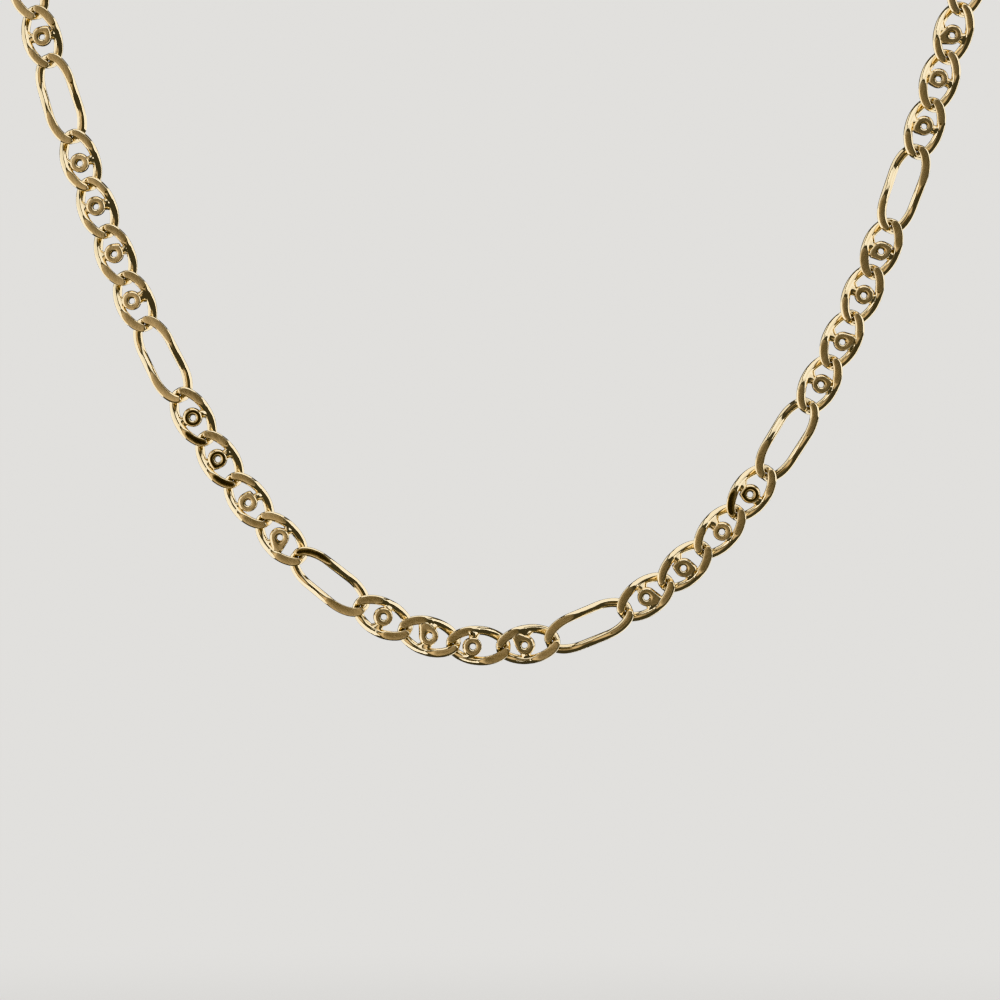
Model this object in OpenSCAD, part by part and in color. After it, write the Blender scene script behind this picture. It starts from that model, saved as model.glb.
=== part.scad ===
// Figaro neck chain of flat-ground curb links, a whole loop as it hangs from the neck.
// Millimetres, +Z up, +Y to the back. The origin is the point of the nape under the clasp.

/* [Links] */
// Outer length of a short link
short_l = 7.31; // [7:0.01:8]
// Outer length of a long link
long_l = 10.57; // [9:0.01:13]
// Outer width of every link
link_w = 4.4; // [4.2:0.05:5]
// Width of the wire along a link's sides
side_wire = 0.98; // [0.85:0.01:1.1]
// Width of the wire round a link's ends
end_wire = 0.72; // [0.6:0.01:0.8]
// Distance from a link's middle line in which its wire widens to full width
widen_w = 0.9; // [0.7:0.05:1.2]
// Thickness of the wire before it is ground
wire_t = 0.8; // [0.7:0.01:0.9]
// Straight run in each side of a short link
short_straight = 1.2; // [0.8:0.1:2]
// Thickness of the chain between its ground flats
chain_t = 1.6; // [1.4:0.01:1.8]
// Distance from a link's middle line in which its wire climbs to full height
climb_w = 0.5; // [0.4:0.05:0.6]
// Share of a link's half length in which its side wires pass to full height
rise_share = 0.5; // [0.4:0.05:1]
// Play between the end wires of two links
joint_gap = 0.235; // [0.22:0.005:0.3]
// How much less play the left side has
left_pull = 0.07; // [0:0.005:0.07]
// Gap between two wires where one crosses over the other
cross_gap = 0.24; // [0.2:0.01:0.3]

/* [Eyes] */
// Outer diameter of the eye in a short link
eye_d = 2; // [1.6:0.05:2.2]
// Bore of the eye
eye_bore = 0.65; // [0.4:0.05:1]
// Depth of the eye's end faces below the ground flats
eye_recess = 0.05; // [0.02:0.01:0.2]
// Length of each solder bridge along the link
solder_l = 0.8; // [0.4:0.05:1.2]
// Thickness of each solder bridge
solder_t = 0.6; // [0.3:0.05:0.7]

/* [Pattern] */
// Links on each side, from the lowest joint to the clasp
side_links = 39; // [35:1:44]
// Short links between two long ones
short_run = 4; // [3:1:5]
// Short links on the right between the lowest joint and the first long link
right_lead = 1; // [0:1:3]

/* [Hang] */
// Radius of the hanging curve at its lowest point
sag_r = 26.3; // [22:0.1:34]
// Length of chain from the curve's lowest point to the lowest joint, to the right
slide = 0.74; // [-1:0.02:1]
// Length of chain on each side that hangs in the front curve
front_arc = 96.5; // [80:0.5:110]
// How soon the slope levels out past the front curve
level_off = 2.5; // [1.5:0.1:3]

/* [Clasp] */
// Length of the clasp from joint to joint
clasp_l = 12; // [10:0.5:20]
// Diameter of the clasp's barrel
clasp_d = 4; // [3:0.1:6]
// Bevel round each end of the barrel
clasp_bevel = 0.6; // [0.2:0.1:1]
// Wire of the clasp's end rings
ring_wire = 0.8; // [0.7:0.05:0.9]
// Bore of the clasp's end rings
ring_bore = 3.4; // [3.3:0.1:3.8]
// Play between a ring and the end wire of its link
ring_gap = 0.5; // [0.5:0.01:0.6]

/* [Hidden] */
GOLD = [0.80, 0.64, 0.36];

side_y = link_w / 2 - side_wire / 2;
side_inner_y = link_w / 2 - side_wire;
wave = (wire_t + cross_gap) / 2;
ring_r = ring_bore / 2 + ring_wire / 2;
ring_in = ring_bore / 2 - ring_gap + joint_gap / 2;

// Sections round a link: which end's centre each belongs to, and its angle about it
STATIONS = [
    [1, 0], [1, 18], [1, 45], [1, 90], [0, 90], [-1, 90], [-1, 135], [-1, 162],
    [-1, 180], [-1, 198], [-1, 225], [-1, 270], [0, 270], [1, 270], [1, 315], [1, 342]
];
WIRE_ANGLES = [0:60:300];
WIRE_SIDES = 6;

function clamp(v, limit) = max(-limit, min(limit, v));
function unit(v) = v / norm(v);
function sum(list) = [for (i = 0, s = list[0]; i < len(list); i = i + 1, s = s + list[min(i, len(list) - 1)]) s];

// A side is how many short links it has before its first long one, the play it has lost, and
// the length of chain from the curve's lowest point to its first joint, the lowest one
RIGHT = [right_lead, 0, slide];
LEFT = [short_run - right_lead, left_pull, -slide];
function is_long(i, side) = (i - side[0]) % (short_run + 1) == 0;
function pitch(i, side) = (is_long(i, side) ? long_l : short_l) - 2 * end_wire - joint_gap + side[1];
function pitches(side) = [for (i = [0:side_links - 1]) pitch(i, side)];
// Length of chain from the curve's lowest point to the far end of each link
function arcs(side) = [for (end = sum(pitches(side))) end + side[2]];

// Direction of the chain at a length s from the lowest point: a hanging curve, then a turn
// by half a circle to the nape, while its slope levels out
function way(s, total, turn) =
    let (past = max(0, s - front_arc) / (total - front_arc),
         slope = atan(min(s, front_arc) / sag_r) * pow(1 - past, level_off),
         bearing = 180 * pow(past, turn))
    [cos(slope) * cos(bearing), cos(slope) * sin(bearing), sin(slope)];
function ways(side, turn) =
    let (step = pitches(side), end = arcs(side))
    [for (i = [0:side_links - 1]) way(end[i] - step[i] / 2, end[side_links - 1], turn)];
function joints(side, turn) =
    let (step = pitches(side), dir = ways(side, turn))
    concat([[0, 0, 0]], sum([for (i = [0:side_links - 1]) step[i] * dir[i]]));

// The turn is halved in until the last joint lands at the clasp's end
function turn_for(side, low = 0.2, high = 3, tries = 24) =
    let (mid = (low + high) / 2)
    tries == 0 ? mid
    : joints(side, mid)[side_links].x > clasp_l / 2 ? turn_for(side, low, mid, tries - 1)
    : turn_for(side, mid, high, tries - 1);

// Outward faces of the links: each is the last one's, carried along without a twist
function level(n, dir) = unit(n - (n * dir) * dir);
function faces_out(dir) =
    [for (i = 0, n = [0, -1, 0]; i < len(dir); i = i + 1, n = level(n, dir[min(i, len(dir) - 1)])) n];

right_turn = turn_for(RIGHT);
left_turn = turn_for(LEFT);
function mirrored(list) = [for (v = list) [-v.x, v.y, v.z]];
right_joints = joints(RIGHT, right_turn);
left_joints = mirrored(joints(LEFT, left_turn));
right_ways = ways(RIGHT, right_turn);
left_ways = mirrored(ways(LEFT, left_turn));
nape = (right_joints[side_links] + left_joints[side_links]) / 2 - [0, 0, clasp_d / 2];

// Stands what is drawn along X, with its face to +Z, at a place along a direction
module placed(centre, dir, out) {
    across = cross(out, dir);
    at = centre - nape;
    multmatrix([
        [dir.x, across.x, out.x, at.x],
        [dir.y, across.y, out.y, at.y],
        [dir.z, across.z, out.z, at.z]
    ]) children();
}

// An oval of wire that passes from low to high at each end, with both faces ground flat
module wire_loop(l) {
    straight = (short_straight + l - short_l) / 2;
    end_r = l / 2 - end_wire / 2 - straight;
    tip_x = straight + end_r;
    points = [
        for (station = STATIONS)
        let (a = station[1],
             x = station[0] * straight + end_r * cos(a),
             y = side_y * sin(a),
             z = -wave * sin(90 * clamp(y / climb_w, 1)) * sin(90 * clamp(x / (rise_share * tip_x), 1)),
             out = unit([cos(a) / end_r, sin(a) / side_y]),
             half = (end_wire + (side_wire - end_wire) * sin(90 * min(1, abs(y) / widen_w))) / 2)
        for (b = WIRE_ANGLES)
            [x + out.x * half * cos(b), y + out.y * half * cos(b),
             clamp(z + wire_t / 2 * sin(b) / sin(60), chain_t / 2)]
    ];
    count = len(STATIONS);
    triangles = [
        for (i = [0:count - 1], j = [0:WIRE_SIDES - 1])
        let (here = i * WIRE_SIDES, next = (i + 1) % count * WIRE_SIDES, k = (j + 1) % WIRE_SIDES)
        for (t = [[here + j, here + k, next + k], [here + j, next + k, next + j]]) t
    ];
    polyhedron(points, triangles, convexity = 4);
}

// The short link with its eye, soldered to both sides
module eyed_link() {
    difference() {
        union() {
            wire_loop(short_l);
            cylinder(d = eye_d, h = chain_t - 2 * eye_recess, center = true, $fn = 48);
            cube([solder_l, 2 * side_inner_y + side_wire, solder_t], center = true);
        }
        cylinder(d = eye_bore, h = chain_t + 1, center = true, $fn = 32);
    }
}

module links(side, joint, dir) {
    out = faces_out(dir);
    for (i = [0:side_links - 1])
        placed((joint[i] + joint[i + 1]) / 2, dir[i], out[i])
            if (is_long(i, side)) wire_loop(long_l); else eyed_link();
}

module chain_left() {
    color(GOLD) links(LEFT, left_joints, left_ways);
}

module chain_right() {
    color(GOLD) links(RIGHT, right_joints, right_ways);
}

// One plain barrel that holds the last link of each side in a ring
module clasp() {
    from = left_joints[side_links];
    to = right_joints[side_links];
    dir = unit(to - from);
    out = level([0, 0, 1], dir);
    ring_x = norm(to - from) / 2 - ring_in;
    half_l = ring_x - ring_r;
    r = clasp_d / 2;
    color(GOLD) placed((from + to) / 2, dir, out) {
        rotate([0, 90, 0]) rotate_extrude($fn = 48) polygon([
            [0, -half_l], [r - clasp_bevel, -half_l], [r, clasp_bevel - half_l],
            [r, half_l - clasp_bevel], [r - clasp_bevel, half_l], [0, half_l]
        ]);
        for (side = [-1, 1]) translate([side * ring_x, 0, 0]) rotate([90, 0, 0])
            rotate_extrude($fn = 48) translate([ring_r, 0]) circle(d = ring_wire, $fn = 24);
    }
}

chain_left();
chain_right();
clasp();
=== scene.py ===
import math
import bpy
import numpy as np
from mathutils import Matrix, Vector


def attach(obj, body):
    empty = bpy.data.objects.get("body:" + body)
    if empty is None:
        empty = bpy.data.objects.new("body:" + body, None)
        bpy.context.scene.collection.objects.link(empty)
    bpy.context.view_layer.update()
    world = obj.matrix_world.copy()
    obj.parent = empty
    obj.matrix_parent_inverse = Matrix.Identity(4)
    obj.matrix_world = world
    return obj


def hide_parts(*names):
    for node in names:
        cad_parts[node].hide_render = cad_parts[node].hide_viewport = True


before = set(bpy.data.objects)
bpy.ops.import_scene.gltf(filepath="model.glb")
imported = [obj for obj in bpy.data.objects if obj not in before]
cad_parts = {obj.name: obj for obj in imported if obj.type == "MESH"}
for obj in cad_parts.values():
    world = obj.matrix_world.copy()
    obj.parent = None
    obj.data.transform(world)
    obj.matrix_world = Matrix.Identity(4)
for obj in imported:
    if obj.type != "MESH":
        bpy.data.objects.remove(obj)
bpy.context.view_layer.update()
mm = 0.001
print("frame loaded")

# The camera is level, in front of the hanging curve, as the photograph is taken
camera = {
    "aim": (-0.39, -86.68, -105.01),  # point in the middle of the picture, mm
    "distance": 600,  # mm from that point
    "lens": 190.5,  # focal length, which gives a picture 113.4 mm wide at the chain
    "clip": (0.01, 20),  # nearest and farthest that it sees, metres
}


def addCamera():
    view = bpy.data.cameras.new("camera")
    view.lens = camera["lens"]
    view.clip_start, view.clip_end = camera["clip"]
    viewer = bpy.data.objects.new("camera", view)
    bpy.context.scene.collection.objects.link(viewer)
    viewer.location = Vector(camera["aim"]) * mm - Vector((0, camera["distance"] * mm, 0))
    viewer.rotation_euler = (math.pi / 2, 0, 0)
    bpy.context.scene.camera = viewer


addCamera()
print("camera set")


class Signal:  # one output of a node, which can be used in sums and products
    def __init__(self, tree, socket=None):
        self.tree = tree
        self.socket = socket

    # Any node: its settings first, then the values or links of its sockets. An output node gives no socket.
    def node(self, kind, settings=None, inputs=None, output=0):
        made = self.tree.nodes.new("ShaderNode" + kind)
        for name, value in (settings or {}).items():
            setattr(made, name, value)
        for name, value in (inputs or {}).items():
            if isinstance(value, Signal):
                self.tree.links.new(value.socket, made.inputs[name])
            else:
                made.inputs[name].default_value = value
        return Signal(self.tree, made.outputs[output] if made.outputs else None)

    def calc(self, operation, other, swapped=False):
        first, second = (other, self) if swapped else (self, other)
        return self.node("Math", {"operation": operation}, {0: first, 1: second})

    def __add__(self, other):
        return self.calc("ADD", other)

    def __radd__(self, other):
        return self.calc("ADD", other, swapped=True)

    def __sub__(self, other):
        return self.calc("SUBTRACT", other)

    def __rsub__(self, other):
        return self.calc("SUBTRACT", other, swapped=True)

    def __mul__(self, other):
        return self.calc("MULTIPLY", other)

    def __rmul__(self, other):
        return self.calc("MULTIPLY", other, swapped=True)

    def step(self, low, high):  # 0 below low, 1 above high, smooth between
        return self.node("MapRange", {"interpolation_type": "SMOOTHSTEP"},
                         {"Value": self, "From Min": low, "From Max": high})

    def scaled(self, size):  # a vector times three numbers
        return self.node("VectorMath", {"operation": "MULTIPLY"}, {0: self, 1: size})

    def noise(self, scale, detail, roughness):  # noise at this place, 0 to 1
        return self.node("TexNoise", {}, {"Vector": self, "Scale": scale, "Detail": detail,
                                          "Roughness": roughness})

    def blend(self, first, second):  # colour mix by this factor, whose colour sockets are 6, 7 and 2
        return self.node("Mix", {"data_type": "RGBA"}, {"Factor": self, 6: first, 7: second}, 2)


def clearedTree(owner):  # of a material or the world
    owner.use_nodes = True
    owner.node_tree.nodes.clear()
    return Signal(owner.node_tree)


def opaque(colour):
    return (*colour, 1)


gold = {
    "colour": (0.89, 0.745, 0.49),  # 14 carat yellow gold
    "warmColour": (0.82, 0.64, 0.36),  # where soldering heat has warmed it
    "warmClouds": (0.45, 0.75),  # level of the clouds at which it is warmed, from and to
    "warmCloudShare": 0.45,
    "warmSpots": (0.62, 0.74),  # level of the wear at which it is warmed in spots, from and to
    "warmSpotShare": 0.2,
    "paintedShadeColour": (0.09, 0.055, 0.025),  # painted shade, a near black brown, deep in the joints' hollows where the wires shade each other
    "paintedShadeEdge": (0.25, 0.85),  # depth of a hollow at which the painted shade lies, from and to
    "paintedShadeRagged": 0.5,  # how much the wear moves that edge
    "polishRoughness": 0.09,
    "groundRoughness": 0.27,
    "paintedShadeRoughness": 0.4,  # added where the painted shade lies
    "marksRoughness": 0.16,  # change by the grinding marks
    "cloudRoughness": 0.05,  # change by the clouds
    "burnished": 0.08,  # how far a burnished flat is from polish to ground
    # Patterns: scale in each mm, detail and roughness of the noise
    "clouds": (0.45, 2.0, 0.5),
    "wear": (3.5, 2.0, 0.5),
    "waver": (0.9, 1.0, 0.5),
    "marks": (1.1, 3.0, 0.6),
    "marksStretch": (0.5, 3.2, 0.6),  # along, across and out of a link
    "marksFrom": (0, 0.4),  # how ground the face is where marks begin, from and to
    "patternSpan": 400,  # mm within which each link, eye and web has a place of its own in the patterns
    # Depths, as shares of the bump's
    "wearDepth": 0.02,
    "waverDepth": 0.09,  # unevenness of the drawn wire
    "marksDepth": 0.035,
    "bump": 0.0002,  # metres
}


# Polished where the attribute ground is 0, and finely ground along the link where it is 1. Shade is painted
# into the colour, darker and rougher, where the attribute hollow is high, and the attribute linkPlace carries
# the patterns along with each link.
def goldMaterial(name):
    made = bpy.data.materials.new(name)
    start = clearedTree(made)
    place = start.node("TexCoord", {}, {}, "Object").scaled((1 / mm, 1 / mm, 1 / mm))  # in millimetres
    inLink = start.node("Attribute", {"attribute_name": "linkPlace"}, {}, "Vector")
    ground = start.node("Attribute", {"attribute_name": "ground"}, {}, "Fac")
    hollow = start.node("Attribute", {"attribute_name": "hollow"}, {}, "Fac")
    clouds = place.noise(*gold["clouds"])
    wear = inLink.noise(*gold["wear"])
    waver = inLink.noise(*gold["waver"])
    marks = inLink.scaled(gold["marksStretch"]).noise(*gold["marks"])
    warm = (clouds.step(*gold["warmClouds"]) * gold["warmCloudShare"]
            + wear.step(*gold["warmSpots"]) * gold["warmSpotShare"])
    # Painted shade: deep in the joints' hollows the colour is darkened towards a near black brown, where the
    # wires shade each other
    paintedShade = (hollow + (wear - 0.5) * gold["paintedShadeRagged"]).step(*gold["paintedShadeEdge"])
    colour = warm.blend(opaque(gold["colour"]), opaque(gold["warmColour"]))
    colour = paintedShade.blend(colour, opaque(gold["paintedShadeColour"]))
    rough = (gold["polishRoughness"] + ground * (gold["groundRoughness"] - gold["polishRoughness"])
             + (marks - 0.5) * ground * gold["marksRoughness"] + (clouds - 0.5) * gold["cloudRoughness"]
             + paintedShade * gold["paintedShadeRoughness"])
    height = (marks * ground.step(*gold["marksFrom"]) * gold["marksDepth"]
              + waver * (1 - ground) * gold["waverDepth"] + wear * gold["wearDepth"])
    normal = start.node("Bump", {}, {"Height": height, "Strength": 1.0, "Distance": gold["bump"]})
    shader = start.node("BsdfPrincipled", {}, {
        "Base Color": colour, "Metallic": 1.0, "Roughness": rough, "Normal": normal})
    shader.node("OutputMaterial", {}, {"Surface": shader})
    return made


chainGold = goldMaterial("chainGold")
claspGold = goldMaterial("claspGold")
print("gold made")

# The chain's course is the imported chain's own
chain = {
    "sideLinks": 39,  # links from the lowest joint to the clasp, each side
    "shortRun": 4,  # short links between two long ones
    "rightLead": 1,  # short links before the first long one on the right
    "sagRadius": 26.3,  # mm, at the lowest point
    "frontArc": 96.5,  # mm of chain each side in the front curve
    "levelOff": 2.5,  # how soon the slope levels out past the front curve
    "turnPower": (0.2, 3.0),  # least and most of the power by which the bearing turns to the nape
    "turnTries": 25,  # times that this span is halved
    "jointGap": 0.235,  # mm, play between the end wires of two links
    "leftPull": 0.07,  # mm, how much less play the left side has
    "slide": 0.74,  # mm of chain from the curve's lowest point to the lowest joint
    "endWire": 0.72,  # mm, the end wire that the joints are counted with
    "claspLength": 12.0,  # mm
    "claspWidth": 4.0,  # mm
    "pieceLinks": 13,  # links in each piece of a side
    "seeds": {"chain_right": 11, "chain_left": 12},
}
link = {
    "shortLength": 7.31,  # mm, all lengths that follow too
    "longLength": 10.57,
    "width": 4.46,
    "sideWire": 1.0,
    "endWire": 0.68,
    "tipInward": {"chain_right": 0.075, "chain_left": 0.05},  # how much wider on the inside of the tip
    "tipReach": 0.35,  # distance from the link's middle line over which that lasts
    "shoulder": 0.05,  # how much wider the wire is where the flats are
    "widen": 0.8,  # distance from the link's middle line in which it comes to full width
    "wireHeight": 0.88,
    "mostSteep": 1.3,  # the most by which a steep stretch is higher than that
    "straight": (0.6, 3.3),  # straight run in each side of a short link, and of a long one
    "pointed": (1.18, 1.03),  # 1 gives an ellipse's ends, more gives pointed ones, short and long
    "halfThickness": 0.8,  # from the middle to the upper flats
    "backThickness": 0.92,  # and to the lower ones
    "wave": 0.52,  # how far the wire rises above the middle
    "riseShare": 0.5,  # share of the half length in which it does
    "fallDepth": 0.92,  # how far it falls below the middle
    "fallSlope": 0.45,
    "fallEase": 6,  # more gives a sharper bend from that slope to the full depth
    "climb": (0.9, 0.5),  # from the link's middle line to where it's low, and to where it's high
    "flatTilt": (0.015, 0.03),  # usual slope of a ground flat along and across the link
    # Links and halves whose upper flat is burnished: 1 for the half nearer the lowest joint, 0 for the other
    "burnished": {"chain_right": ((5, 1),), "chain_left": ((3, 0), (6, 1), (7, 1))},
    "edgeRound": 0.055,  # how softly a flat meets the round wire
    "edgeSine": (0.1, 0.98),  # least and most of the share of the wire's half height that a flat leaves
    "leastCut": 0.97,  # share under which the flat counts as ground
    "rim": (0, 0.06, 0.14, 0.24, 0.36, 0.5, 0.64, 0.76, 0.86, 0.94),  # columns on a side of the wire
    "flat": (0, 0.05, 0.15, 0.5, 0.85, 0.95),  # columns across a flat
    "hollow": (0.7, 0.75, 0.75),  # reach of the painted shade in a joint along, across and out
    "endStations": 40,
    "sideStations": 14,
    "sharpAngle": 28,  # degrees
}


def unit(v):
    return v / np.linalg.norm(v, axis=-1, keepdims=True)


# The way of each link turns up from the lowest joint as a hanging curve does, slope = atan(s / sag),
# then levels out while its bearing goes half round to the nape. The power of that turn is halved in
# until the last joint lands at the clasp.
def chainCourse(lead, pull, slide, mirror):
    number = np.arange(chain["sideLinks"])
    isLong = (number - lead) % (chain["shortRun"] + 1) == 0
    lengths = np.where(isLong, link["longLength"], link["shortLength"])
    pitch = lengths - 2 * chain["endWire"] - chain["jointGap"] + pull
    end = np.cumsum(pitch) + slide
    middle = end - pitch / 2
    past = np.maximum(0, middle - chain["frontArc"]) / (end[-1] - chain["frontArc"])
    slope = np.arctan(np.minimum(middle, chain["frontArc"]) / chain["sagRadius"])
    slope = slope * (1 - past) ** chain["levelOff"]
    low, high = chain["turnPower"]
    for attempt in range(chain["turnTries"]):
        power = (low + high) / 2
        bearing = np.pi * past ** power
        ways = np.stack([np.cos(slope) * np.cos(bearing), np.cos(slope) * np.sin(bearing), np.sin(slope)], 1)
        joints = np.vstack([[0, 0, 0], np.cumsum(pitch[:, None] * ways, 0)])
        if joints[-1, 0] > chain["claspLength"] / 2:
            high = power
        else:
            low = power
    flip = np.array([mirror, 1, 1])
    ways, joints = ways * flip, joints * flip
    out = [np.array([0.0, -1.0, 0.0])]
    for way in ways[1:]:  # each link's face is the last one's, carried along without a twist
        out.append(unit(out[-1] - out[-1].dot(way) * way))
    out = np.array(out)
    turns = np.stack([ways, np.cross(out, ways), out], 2)  # columns: along, across, out
    return {"isLong": isLong, "lengths": lengths, "joints": joints, "turns": turns}


courses = {
    "chain_right": chainCourse(chain["rightLead"], 0, chain["slide"], 1),
    "chain_left": chainCourse(chain["shortRun"] - chain["rightLead"], chain["leftPull"], -chain["slide"], -1),
}
# The origin is the point of the nape under the clasp, so the joints are placed from there
nape = sum(course["joints"][-1] for course in courses.values()) / 2 - [0, 0, chain["claspWidth"] / 2]
for course in courses.values():
    course["joints"] = course["joints"] - nape
    course["middles"] = (course["joints"][1:] + course["joints"][:-1]) / 2


# Quads of grids whose columns wrap round. So do the rows of a ring. A capped form's first and last row
# don't meet, and each is closed by a strip of quads.
def gridFaces(grids, rows, columns, capped):
    def at(row, column):
        return grid * rows * columns + (row % rows) * columns + column % columns

    grid, r, c = np.meshgrid(np.arange(grids), np.arange(rows - capped), np.arange(columns), indexing="ij")
    faces = np.stack([at(r, c), at(r + 1, c), at(r + 1, c + 1), at(r, c + 1)], -1).reshape(-1, 4)
    if capped:
        j = np.arange(columns // 2 - 1)
        strip = np.stack([j, j + 1, columns - 2 - j, columns - 1 - j], 1)
        first = np.arange(grids)[:, None, None] * rows * columns
        last = first + (rows - 1) * columns
        caps = (first + strip).reshape(-1, 4), (last + strip[:, [0, 3, 2, 1]]).reshape(-1, 4)
        faces = np.concatenate([faces, *caps])
    return faces


# A form is a dictionary of grids of points, (grids, rows, columns, 3), and what the gold's look is worked
# out from at each. The ground at a point is that of the face between it and the next row and column.
def joinForms(forms):
    parts, first = [], 0
    for form in forms:
        grids, rows, columns = form["points"].shape[:3]
        faces = gridFaces(grids, rows, columns, form["capped"])
        ground = np.zeros(len(faces))  # a cap is never ground
        sides = form["ground"][:, :rows - form["capped"]].ravel()
        ground[:len(sides)] = sides
        parts.append((form["points"].reshape(-1, 3), form["places"].reshape(-1, 3), form["hollow"].ravel(),
                      faces + first, ground))
        first += form["hollow"].size
    return (np.concatenate(arrays) for arrays in zip(*parts))


def makePiece(name, node, material, sharpAngle, forms):
    points, places, hollow, faces, ground = joinForms(forms)
    mesh = bpy.data.meshes.new(name)
    mesh.vertices.add(len(points))
    mesh.vertices.foreach_set("co", (points * mm).astype(np.float32).ravel())
    mesh.loops.add(faces.size)
    mesh.loops.foreach_set("vertex_index", faces.astype(np.int32).ravel())
    mesh.polygons.add(len(faces))
    mesh.polygons.foreach_set("loop_start", np.arange(0, faces.size, 4, dtype=np.int32))
    mesh.update(calc_edges=True)
    mesh.validate()
    mesh.polygons.foreach_set("use_smooth", np.ones(len(faces), bool))
    mesh.set_sharp_from_angle(angle=math.radians(sharpAngle))
    for attribute, kind, domain, field, values in (
            ("ground", "FLOAT", "FACE", "value", ground),
            ("hollow", "FLOAT", "POINT", "value", hollow),
            ("linkPlace", "FLOAT_VECTOR", "POINT", "vector", places)):
        made = mesh.attributes.new(attribute, kind, domain)
        made.data.foreach_set(field, values.astype(np.float32).ravel())
    mesh.materials.append(material)
    piece = bpy.data.objects.new(name, mesh)
    bpy.context.scene.collection.objects.link(piece)
    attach(piece, "root")
    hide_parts(node)


# Height of the wire's middle line, where tip is its reach along the link. Each side rises by a quarter
# sine from the middle to one end, and falls steadily to the other, f = s |x| eased to its depth d by
# f / (1 + (f / d)^n)^(1/n). Round the end it climbs from low to high by a smooth step across the link.
def wireCourse(x, y, tip):
    rise = link["wave"] * np.sin(np.pi / 2 * np.clip(np.abs(x) / (link["riseShare"] * tip), 0, 1))
    fall = np.abs(x) * link["fallSlope"]
    fall = fall / (1 + (fall / link["fallDepth"]) ** link["fallEase"]) ** (1 / link["fallEase"])
    low, high = link["climb"]
    climb = np.clip((low - y * np.sign(x)) / (low + high), 0, 1)
    return -fall + (rise + fall) * climb ** 2 * (3 - 2 * climb)


# Stations round a link, which stand closer at the tips, where the wire dips: the share of half the
# straight run at which the arc's centre of each lies, and its angle about that centre
def linkStations():
    ends, sides = link["endStations"], link["sideStations"]
    spread = np.linspace(-1, 1, ends)
    arc = 90 * spread * (0.5 + 0.5 * spread ** 2)
    run = np.linspace(1, -1, sides + 2)[1:-1]
    share = np.concatenate([np.ones(ends), run, -np.ones(ends), -run])
    angle = np.concatenate([arc, np.full(sides, 90), arc + 180, np.full(sides, 270)])
    return share, np.radians(angle)


# The wire at each station, for each link. Its middle line is x = c + r cos(a)^p, y = w sin(a)^p, and
# its height is wireCourse. The wire widens from the tip to the sides, and a steep stretch is higher.
def linkWire(isLong, lengths):
    share, angle = linkStations()
    pointed = np.array(link["pointed"])[isLong.astype(int)][:, None]
    straight = np.array(link["straight"])[isLong.astype(int)][:, None] / 2
    endRadius = lengths[:, None] / 2 - link["endWire"] / 2 - straight
    sideY = link["width"] / 2 - link["sideWire"] / 2
    cos, sin = (np.sign(v) * np.abs(v) ** pointed for v in (np.cos(angle), np.sin(angle)))
    x = share * straight + endRadius * cos
    y = sideY * sin
    z = wireCourse(x, y, straight + endRadius)
    steepness = 2 / pointed - 1
    outward = unit(np.stack([np.sign(cos) * np.abs(cos) ** steepness / endRadius,
                             np.sign(sin) * np.abs(sin) ** steepness / sideY], -1))
    near = np.sin(np.pi / 2 * np.minimum(1, np.abs(y) / link["widen"]))
    wider = link["sideWire"] - link["endWire"] + link["shoulder"] * np.sin(2 * angle) ** 2
    halfWidth = (link["endWire"] + wider * near) / 2
    ahead = np.stack([np.roll(v, -1, 1) - np.roll(v, 1, 1) for v in (x, y, z)], -1)
    steep = np.sqrt(1 + ahead[..., 2] ** 2 / (ahead[..., 0] ** 2 + ahead[..., 1] ** 2))
    halfHeight = link["wireHeight"] / 2 * np.minimum(steep, link["mostSteep"])
    return x, y, z, outward, halfWidth, halfHeight


def lesser(height, flat):  # rounded where they meet: (h + f - sqrt((h - f)^2 + round^2)) / 2
    return (height + flat - np.sqrt((height - flat) ** 2 + link["edgeRound"] ** 2)) / 2


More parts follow.
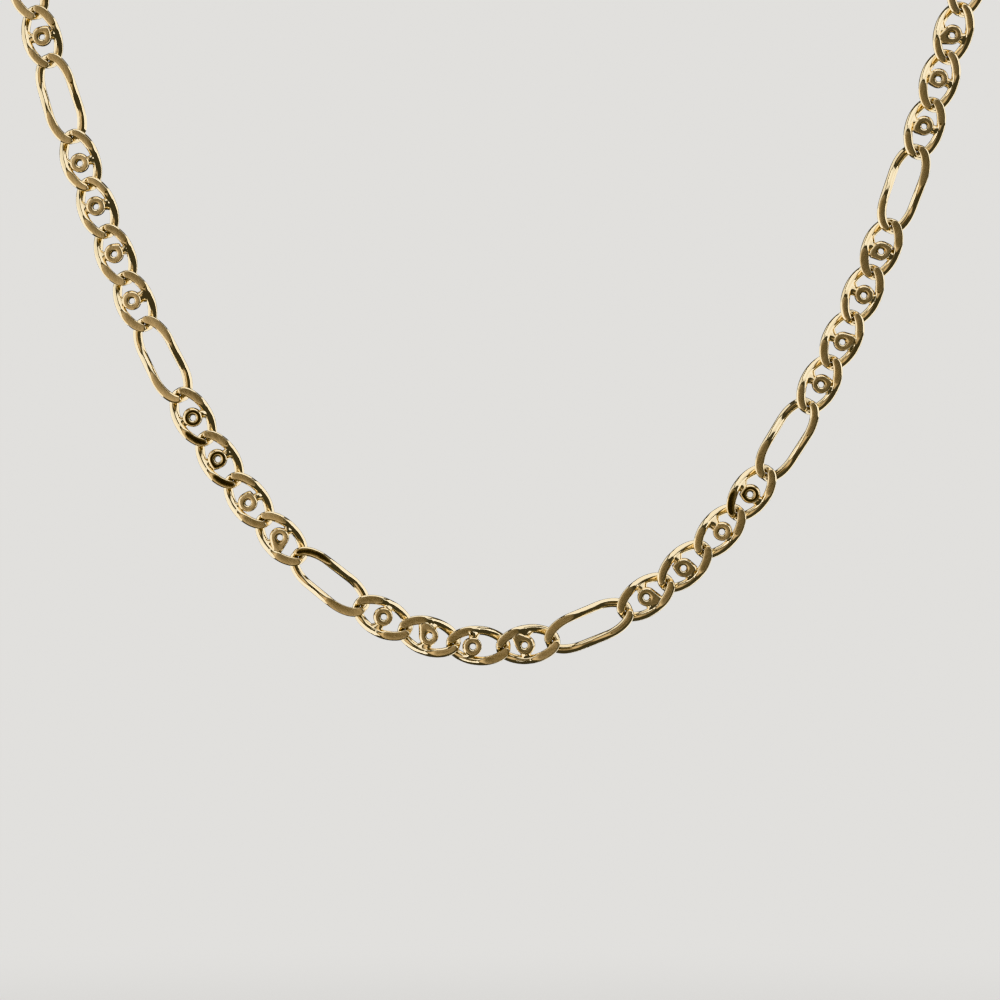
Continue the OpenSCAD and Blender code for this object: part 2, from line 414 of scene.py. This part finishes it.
# A link is an oval of wire, high on one side of each end and low on the other, ground flat on both faces.
# Each station's section is an ellipse whose height is cut by the flats' planes.
def linkPoints(isLong, lengths, tipInward, slopes, worn):
    x, y, z, outward, halfWidth, halfHeight = linkWire(isLong, lengths)
    # The flat's plane at each station, above and below, by the half of the link that it lies in
    half = (x < 0).astype(int)
    number = np.arange(len(lengths))[:, None]
    along, across = np.moveaxis(slopes[number, half], -1, 0)
    above = link["halfThickness"] + along[..., 0] * x + across[..., 0] * y - z
    below = link["backThickness"] + along[..., 1] * x + across[..., 1] * y + z
    edgeAbove, edgeBelow = (np.arcsin(np.clip(cut / halfHeight, *link["edgeSine"]))[..., None]
                            for cut in (above, below))
    rim, flat = np.array(link["rim"]), np.array(link["flat"])
    around = np.concatenate([
        -edgeBelow + (edgeBelow + edgeAbove) * rim,
        edgeAbove + (np.pi - 2 * edgeAbove) * flat,
        np.pi - edgeAbove + (edgeBelow + edgeAbove) * rim,
        np.pi + edgeBelow + (np.pi - 2 * edgeBelow) * flat], -1)
    offset = halfWidth[..., None] * np.cos(around)
    inward = tipInward / link["endWire"] * 2 * np.exp(-(y / link["tipReach"]) ** 2)
    offset += np.minimum(offset, 0) * inward[..., None]
    height = lesser(halfHeight[..., None] * np.sin(around), above[..., None])
    height = -lesser(-height, below[..., None])
    points = np.stack([
        x[..., None] + outward[..., :1] * offset,
        y[..., None] + outward[..., 1:] * offset,
        z[..., None] + height], -1)
    # The columns inside a flat are ground where the wire stands above the flat's plane
    isCutAbove, isCutBelow = above < link["leastCut"] * halfHeight, below < link["leastCut"] * halfHeight
    ground = np.zeros(points.shape[:3])
    upper, lower = len(rim) + 1, 2 * len(rim) + len(flat) + 1
    ground[..., upper:upper + len(flat) - 2] = (
        (isCutAbove & np.roll(isCutAbove, -1, 1)) * worn[number, half])[..., None]
    ground[..., lower:lower + len(flat) - 2] = (isCutBelow & np.roll(isCutBelow, -1, 1))[..., None]
    # How deep in a joint a point is, which sets the painted shade there, falls off as exp(-distance squared)
    # from the middle of the joint
    jointX = (lengths / 2 - chain["endWire"] - chain["jointGap"] / 2)[:, None, None]
    fromJoint = np.stack([np.abs(points[..., 0]) - jointX, points[..., 1], points[..., 2]], -1)
    hollow = np.exp(-((fromJoint / link["hollow"]) ** 2).sum(-1))
    return points, ground, hollow


# An eye is a short tube across the link, ground level with the flats and soldered to both sides
eye = {
    "radius": 1.05,  # mm
    # Its profile from the waist to the bore: radius as a share of the eye's, depth below the ground face
    # in mm, and 1 where the face from that row to the next is ground
    "profile": (
        (1.03, 0.46, 0), (1.02, 0.30, 0), (0.995, 0.16, 0), (0.955, 0.065, 0), (0.905, 0.015, 1),
        (0.86, 0, 1), (0.78, 0, 1), (0.70, 0, 1), (0.61, 0, 1), (0.52, 0.003, 0),
        (0.45, 0.02, 0), (0.385, 0.065, 0), (0.325, 0.2, 0)),
    "recess": 0.004,  # mm from the link's flats down to the ground face
    "tilt": 0.02,  # usual slope of its ground face
    "startWay": 128,  # degrees, where ground solder runs to the link's first flat, and to its last one
    "endWay": -50,
    "tipWidth": 13,  # degrees each way that the ground solder's end is wide
    "tipShare": 0.9,  # reach at those edges, as a share of that at the end's middle
    "leastReach": 1.001,  # just outside the circle
    "lean": 0.12,  # mm, how far the tube's waist stands out along the link from its ground face
    "leanFrom": 0.8,  # mm from the eye's middle, past which its wall leans
    "columns": 48,
    # Eyes out of view: spread and most of their distance from the link's middle in mm, how far ground
    # solder reaches as a share of the eye's radius, least and most, and the share of eyes that have it
    "offCentre": (0.14, 0.25),
    "reach": (0.4, 1.9),
    "reachShare": 0.4,
    # Eyes that were set one by one: link, along and across from its middle in mm, how far ground
    # solder reaches to the first flat and to the last one, and 1 where the eye is burnished
    "placed": {
        "chain_right": (
            (0, -0.40, -0.06, 1.9, 0, 0), (2, 0.05, -0.07, 0, 1.9, 0), (3, -0.24, -0.08, 1.3, 1.5, 0),
            (4, 0.10, -0.26, 0, 0, 0), (5, -0.24, -0.02, 1.2, 0, 1), (7, 0.06, -0.20, 0, 1.28, 0),
            (8, -0.19, -0.20, 0, 1.6, 0), (9, 0.00, -0.20, 0, 1.1, 0), (10, -0.30, -0.10, 1.5, 1.3, 0),
            (12, 0.17, 0.10, 1.4, 0, 0), (13, 0.15, 0.15, 1.25, 0, 0), (14, -0.27, 0.05, 1.9, 0, 0)),
        "chain_left": (
            (0, 0.60, 0.18, 0, 0, 0), (1, -0.02, -0.05, 0, 1.9, 0), (2, -0.08, -0.13, 0, 0, 0),
            (4, 0.18, 0.02, 1.9, 0, 0), (5, -0.20, 0.20, 0, 1.25, 0), (6, 0.10, 0.10, 1.3, 0, 1),
            (7, -0.13, 0.03, 0, 0, 1), (9, 0.14, 0.25, 0, 0, 0), (10, 0.10, 0.05, 0, 1.2, 0),
            (11, 0.15, 0.05, 0, 0, 0), (12, -0.32, 0.15, 0, 0, 0), (14, -0.03, -0.05, 0, 1.3, 0)),
    },
}


# Outer reach by direction: the eye's circle, drawn out by its two tangents to a point at each reach
def eyeReach(around, reaches):
    reach = np.ones((len(reaches), len(around)))
    for way, whole in zip((eye["startWay"], eye["endWay"]), reaches.T):
        for aside, share in ((-eye["tipWidth"], eye["tipShare"]), (0, 1), (eye["tipWidth"], eye["tipShare"])):
            far = np.maximum(whole * share, eye["leastReach"])
            spread = np.arccos(1 / far)[:, None]
            away = np.abs((around - math.radians(way + aside) + np.pi) % (2 * np.pi) - np.pi)
            reach = np.maximum(reach, np.where(away < spread, 1 / np.cos(np.maximum(spread - away, 0)), 1))
    return reach


# A closed profile of radius and height, spun: the upper half's points, then the lower half's mirrored.
# Outside the bore each point is moved out as far as the eye's reach has it in that direction.
def eyePoints(offsets, slopes, reaches, worn):
    share, depth, isGround = np.array(eye["profile"]).T
    bore = share[-1]
    around = -np.radians(np.arange(eye["columns"]) * 360 / eye["columns"])
    reach = eyeReach(around, reaches)[:, None]
    radii = np.concatenate([share, share[::-1]])[:, None]
    radii = (bore + (radii - bore) * (reach - bore) / (1 - bore)) * eye["radius"]
    depths = np.concatenate([depth, depth[::-1]])[:, None]
    lean = eye["lean"] * depths / depth.max() * (radii > eye["leanFrom"])
    x, y = radii * np.cos(around) + lean, radii * np.sin(around)
    upDown = np.repeat([1, -1], len(share))[:, None]
    z = upDown * (link["halfThickness"] - eye["recess"] - depths)
    z = z + (upDown > 0) * (slopes[:, :1, None] * x + slopes[:, 1:, None] * y)
    ground = np.zeros(x.shape)
    ground[:, :len(share)] = isGround[:, None] * worn[:, None, None]
    ground[:, len(share):-1] = isGround[-2::-1, None]
    hollow = np.zeros(x.shape)
    return np.stack([x + offsets[:, :1, None], y + offsets[:, 1:, None], z], -1), ground, hollow


# Solder is a web that fans out from the eye to each side and follows the wire down
solder = {
    "start": 0.75,  # mm from the eye's middle, all lengths that follow too
    "stop": 1.6,  # from the link's middle line
    "neck": (0.42, 0.6),  # half its length at the eye, least and most
    "foot": 0.12,  # how much longer than that it is where it leaves the eye
    # By the link's side: half its length at the wire, how far its middle is moved along the wire, and
    # how far it swells halfway
    "fan": {1: (1.2, 1.8), -1: (0.6, 1.0)},
    "along": {1: (0.3, 0.7), -1: (-0.3, 0.1)},
    "crown": {1: 0.03, -1: 0.2},
    "height": (0.42, 0.52),  # half its height at the eye
    "wireHeight": 0.4,  # half its height at the wire
    "eyeShare": 0.4,  # share of the wire's own height that its middle has at the eye
    "pointed": 1.25,  # 1 gives a section that is an ellipse, more a pointed one
    "recess": 0.008,  # least distance below the flats
    "hollow": 0.4,  # painted shade on it at the most
    "hollowDepth": (-0.3, 0.4),  # height at which that lies, and its spread
    "rows": 10,
    "columns": 20,
}


# Rows lead from the eye to the wire by t from 0 to 1, and each is a pointed oval of x and z:
# half length = neck + (fan - neck) t^2 + foot (1 - t)^3, the middle's height = the wire's own times
# e + (1 - e) t, where e is its share at the eye, and half height goes evenly but for a swell of sin(pi t)
def webPoints(side, offsets, necks, fans, alongs, heights):
    t = np.linspace(0, 1, solder["rows"])[:, None]
    around = side * np.radians(np.arange(solder["columns"]) * 360 / solder["columns"])
    cos, sin = np.cos(around), np.sin(around)
    sin = sin * np.abs(sin) ** (solder["pointed"] - 1)
    eyeX, eyeY, necks, fans, alongs, heights = (
        v[:, None, None] for v in (*offsets.T, necks, fans, alongs, heights))
    x = eyeX + alongs * t + (necks + (fans - necks) * t ** 2 + solder["foot"] * (1 - t) ** 3) * cos
    # The last row stays inside the wire, whose middle line is at half its width times sin(a)^p where x is
    # c + r cos(a)^p
    tip, straight = (link["shortLength"] - link["endWire"]) / 2, link["straight"][0] / 2
    power = link["pointed"][0]
    turn = ((np.abs(x) - straight) / (tip - straight)).clip(0, 1) ** (1 / power)
    wireY = (link["width"] - link["sideWire"]) / 2 * (1 - turn ** 2) ** (power / 2)
    start = eyeY + side * solder["start"]
    y = start + (side * np.minimum(solder["stop"], wireY) - start) * t
    halfHeight = heights + (solder["wireHeight"] - heights) * t + solder["crown"][side] * np.sin(np.pi * t)
    z = wireCourse(x, y, tip) * (solder["eyeShare"] + (1 - solder["eyeShare"]) * t) + halfHeight * sin
    limit = link["halfThickness"] - solder["recess"]
    return np.stack([x, y, z.clip(-limit, limit)], -1)


def solderPoints(offsets, rng):
    webs = []
    for side in (-1, 1):
        spans = solder["neck"], solder["fan"][side], solder["along"][side], solder["height"]
        webs.append(webPoints(side, offsets, *(rng.uniform(*span, len(offsets)) for span in spans)))
    webs = np.concatenate(webs)
    # Painted shade on the web, darkest round the height hollowDepth, low under the flats
    deepest, spread = solder["hollowDepth"]
    hollow = solder["hollow"] * np.exp(-((webs[..., 2] - deepest) / spread) ** 2)
    return webs, np.zeros(hollow.shape), hollow


# The slopes of a flat that is burnished, along and across each link. It was ground square to the view, and
# mirrors the dark round the lens: its normal lies halfway between the ways to the lens and to the front.
def squareSlopes(course):
    toLens = unit(np.array(camera["aim"]) - [0, camera["distance"], 0] - course["middles"])
    normal = np.einsum("nji,nj->ni", course["turns"], unit(toLens + [0, -1, 0]))
    return -normal[:, :2] / normal[:, 2:]


# Random values of each link's eye, and then those that are listed one by one
def eyeValues(node, square, rng):
    count = len(square)
    spread, most = eye["offCentre"]
    offsets = rng.normal(0, spread, (count, 2)).clip(-most, most)
    reaches = rng.uniform(*eye["reach"], (count, 2)) * (rng.random((count, 2)) < eye["reachShare"])
    slopes = rng.normal(0, eye["tilt"], (count, 2))
    worn = np.ones(count)
    for number, along, across, toFirst, toLast, isBurnished in eye["placed"][node]:
        offsets[number] = along, across
        reaches[number] = toFirst, toLast
        if isBurnished:
            slopes[number] = square[number]
            worn[number] = gold["burnished"]
    return offsets, slopes, reaches, worn


# A form as it lies in its links' own place is carried to the necklace, and given a place in the patterns
def onLinks(course, numbers, points, ground, hollow, capped, rng):
    shifts = rng.uniform(0, gold["patternSpan"], (len(points), 1, 1, 3))
    carried = np.einsum("nij,nrcj->nrci", course["turns"][numbers], points)
    return {
        "numbers": numbers,
        "points": carried + course["middles"][numbers, None, None],
        "places": points + shifts,
        "ground": ground,
        "hollow": hollow,
        "capped": capped,
    }


def someOf(form, isWanted):  # those of a form's grids that are wanted
    return {**form, **{name: form[name][isWanted] for name in ("points", "places", "ground", "hollow")}}


def chainSide(node):
    course = courses[node]
    rng = np.random.default_rng(chain["seeds"][node])
    square = squareSlopes(course)
    every, short = np.arange(chain["sideLinks"]), np.flatnonzero(~course["isLong"])
    slopes = rng.normal(0, 1, (len(every), 2, 2, 2)) * link["flatTilt"]
    worn = np.ones((len(every), 2))
    numbers, halves = np.array(link["burnished"][node]).T
    slopes[numbers, halves, 0] = square[numbers]
    worn[numbers, halves] = gold["burnished"]
    wires = linkPoints(course["isLong"], course["lengths"], link["tipInward"][node], slopes, worn)
    forms = [onLinks(course, every, *wires, False, rng)]
    offsets, slopes, reaches, worn = (values[short] for values in eyeValues(node, square, rng))
    forms.append(onLinks(course, short, *eyePoints(offsets, slopes, reaches, worn), False, rng))
    forms.append(onLinks(course, np.tile(short, 2), *solderPoints(offsets, rng), True, rng))
    for third, letter in enumerate("abc"):
        mine = [someOf(form, form["numbers"] // chain["pieceLinks"] == third) for form in forms]
        name = node.replace("chain_", "links_") + "_" + letter
        makePiece(name, node, chainGold, link["sharpAngle"], mine)


chainSide("chain_right")
chainSide("chain_left")
print("links made")

# The clasp is a turned barrel with a ring at each end
clasp = {
    "bevel": 0.6,  # mm, all lengths that follow too
    "grooves": ((0.95, 0.07, 0.09), (1.25, 0.07, 0.09)),  # distance from each end, half width and depth
    "middleGroove": (0.05, 0.06),  # half width and depth
    "skin": 0.005,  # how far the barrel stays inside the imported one
    "barrelStations": 181,
    "barrelColumns": 64,
    "ringWire": 0.6,
    "ringBore": 3.75,
    "ringSunk": 0.25,  # how far the wire of a ring lies inside the barrel's end
    "ringGap": 0.5,  # play between a ring and the end wire of its link
    "ringStations": 64,
    "ringColumns": 20,
    "sharpAngle": 40,  # degrees
}


# The barrel is its profile spun about its length. Its ends are rounded by a quarter circle, and each
# groove is turned in as depth exp(-(distance / half width)^2).
def barrelPoints(half):
    x = np.linspace(-half, half, clasp["barrelStations"])[:, None]
    fromEnd = half - np.abs(x)
    rounded = 1 - np.sqrt(1 - (1 - (fromEnd / clasp["bevel"]).clip(0, 1)) ** 2)
    radius = chain["claspWidth"] / 2 - clasp["bevel"] * rounded
    for place, width, depth in (*clasp["grooves"], (half, *clasp["middleGroove"])):
        radius = radius - depth * np.exp(-((fromEnd - place) / width) ** 2)
    radius = np.minimum(radius, chain["claspWidth"] / 2 - clasp["skin"])
    around = -np.radians(np.arange(clasp["barrelColumns"]) * 360 / clasp["barrelColumns"])
    return np.stack(np.broadcast_arrays(x, radius * np.cos(around), radius * np.sin(around)), -1)


# A ring is a circle of wire round the point at x on the barrel's axis, in the plane of its length
def ringPoints(x, radius):
    around = np.radians(np.arange(clasp["ringStations"]) * 360 / clasp["ringStations"])[:, None]
    wire = -np.radians(np.arange(clasp["ringColumns"]) * 360 / clasp["ringColumns"])
    reach = radius + clasp["ringWire"] / 2 * np.cos(wire)
    return np.stack(np.broadcast_arrays(
        x + reach * np.cos(around), clasp["ringWire"] / 2 * np.sin(wire), reach * np.sin(around)), -1)


def claspPiece():
    start, stop = courses["chain_left"]["joints"][-1], courses["chain_right"]["joints"][-1]
    along = unit(stop - start)
    out = unit(np.array([0, 0, 1]) - along[2] * along)
    turn = np.stack([along, np.cross(out, along), out])
    radius = clasp["ringBore"] / 2 + clasp["ringWire"] / 2
    ringInside = clasp["ringBore"] / 2 - clasp["ringGap"] + chain["jointGap"] / 2
    ringX = np.linalg.norm(stop - start) / 2 - ringInside
    barrel = barrelPoints(ringX - radius + clasp["ringSunk"])[None]
    rings = np.stack([ringPoints(-ringX, radius), ringPoints(ringX, radius)])
    forms = []
    for points, capped in ((barrel, True), (rings, False)):
        points = points @ turn + (start + stop) / 2
        plain = np.zeros(points.shape[:3])
        forms.append(
            {"points": points, "places": points, "ground": plain, "hollow": plain, "capped": capped})
    makePiece("claspBody", "clasp", claspGold, clasp["sharpAngle"], forms)


claspPiece()
print("clasp made")

# The studio has a pale floor and backdrop. Soft lights stand at the left, the right and over the top,
# lesser ones at the upper left, the lower right and above the camera, and the gold sees a dim glow in
# front with the dark of the lens in it.
studio = {
    "pale": (0.80, 0.79, 0.77),  # floor and backdrop
    "floorHeight": -0.21,  # metres, all lengths that follow too
    "floorRadius": 3.0,
    "floorSides": 96,
    "floorFade": (0.15, 0.6),  # from its middle, where it passes into the backdrop
    "front": (0.77, 0.632, 0.46),  # what the gold sees in front, round the lens
    "frontWay": (-0.33, -0.93, -0.10),
    "frontEdge": (35, 6),  # degrees from that way at which it has gone, and is full
    "lens": (0.012, 0.01, 0.009),  # the dark of the lens, with its way and edge
    "lensWay": (0, -1, 0),
    "lensEdge": (10.5, 4),
    "dim": (0.08, 0.08, 0.08),  # what the gold sees where no light stands
    "centre": (0, -0.087, -0.08),  # point that the lights stand round
    "lightDistance": 0.7,
    # name: degrees from the way to the camera, degrees up from the right, width and height, watts
    "lights": {
        "left": (94, 196, (1.1, 0.7), 4.8),
        "right": (96, 18, (1.1, 0.6), 4.0),
        "upLeft": (88, 146, (1.0, 0.6), 1.9),
        "lowRight": (130, -40, (0.6, 0.7), 1.8),
        "top": (92, 86, (1.0, 0.7), 3.2),
        "upFront": (50, 72, (0.3, 0.8), 0.75),
    },
}


# Lit by the lights near its middle, and as bright as the backdrop further out, so that no edge shows
def floorMaterial():
    made = bpy.data.materials.new("paleFloor")
    start = clearedTree(made)
    place = start.node("TexCoord", {}, {}, "Object")
    far = place.node("VectorMath", {"operation": "LENGTH"}, {0: place}, 1).step(*studio["floorFade"])
    diffuse = start.node("BsdfDiffuse", {}, {"Color": opaque(studio["pale"])})
    glow = start.node("Emission", {}, {"Color": opaque(studio["pale"]), "Strength": 1.0})
    mixed = start.node("MixShader", {}, {0: far, 1: diffuse, 2: glow})
    mixed.node("OutputMaterial", {}, {"Surface": mixed})
    return made


def addFloor():
    around = np.radians(np.arange(studio["floorSides"]) * 360 / studio["floorSides"])
    x, y = studio["floorRadius"] * np.cos(around), studio["floorRadius"] * np.sin(around)
    points = np.stack([x, y, np.full(len(x), studio["floorHeight"])], 1)
    mesh = bpy.data.meshes.new("floor")
    mesh.from_pydata(points.tolist(), [], [list(range(len(points)))])
    mesh.materials.append(floorMaterial())
    floor = bpy.data.objects.new("floor", mesh)
    bpy.context.scene.collection.objects.link(floor)
    floor.visible_glossy = False


def addLight(name, fromCamera, fromRight, size, watts):
    lamp = bpy.data.lights.new(name, "AREA")
    lamp.shape = "RECTANGLE"
    lamp.size, lamp.size_y = size
    lamp.energy = watts
    holder = bpy.data.objects.new(name, lamp)
    aside, turn = math.radians(fromCamera), math.radians(fromRight)
    way = Vector((math.sin(aside) * math.cos(turn), -math.cos(aside), math.sin(aside) * math.sin(turn)))
    holder.location = Vector(studio["centre"]) + way * studio["lightDistance"]
    # Its width lies in the plane of the way to the camera, its height round that way
    depth = (Vector((0, -1, 0)) + way * way.y).normalized()
    holder.rotation_euler = Matrix((depth, way.cross(depth), way)).transposed().to_euler()
    holder.visible_camera = False
    bpy.context.scene.collection.objects.link(holder)


# How far the way that is looked in lies within a patch of the world: 0 outside its edge, 1 where it's full
def inPatch(looking, way, edge):
    near = looking.node("VectorMath", {"operation": "DOT_PRODUCT"},
                        {0: looking, 1: Vector(way).normalized()}, 1)
    return near.step(*(math.cos(math.radians(degrees)) for degrees in edge))


# The camera sees the pale backdrop, and the gold a dim room
def addWorld():
    world = bpy.data.worlds.new("studio")
    start = clearedTree(world)
    seen = start.node("LightPath", {}, {}, "Is Camera Ray")
    looking = start.node("TexCoord", {}, {}, "Generated")
    shade = inPatch(looking, studio["frontWay"], studio["frontEdge"]).blend(
        opaque(studio["dim"]), opaque(studio["front"]))
    shade = inPatch(looking, studio["lensWay"], studio["lensEdge"]).blend(shade, opaque(studio["lens"]))
    dimRoom = start.node("Background", {}, {"Color": shade, "Strength": 1.0})
    backdrop = start.node("Background", {}, {"Color": opaque(studio["pale"]), "Strength": 1.0})
    room = start.node("MixShader", {}, {0: seen, 1: dimRoom, 2: backdrop})
    room.node("OutputWorld", {}, {"Surface": room})
    bpy.context.scene.world = world


addFloor()
for name, values in studio["lights"].items():
    addLight(name, *values)
addWorld()
bpy.context.scene.view_settings.view_transform = "Khronos PBR Neutral"
bpy.context.scene.view_settings.look = "None"
print("studio made")
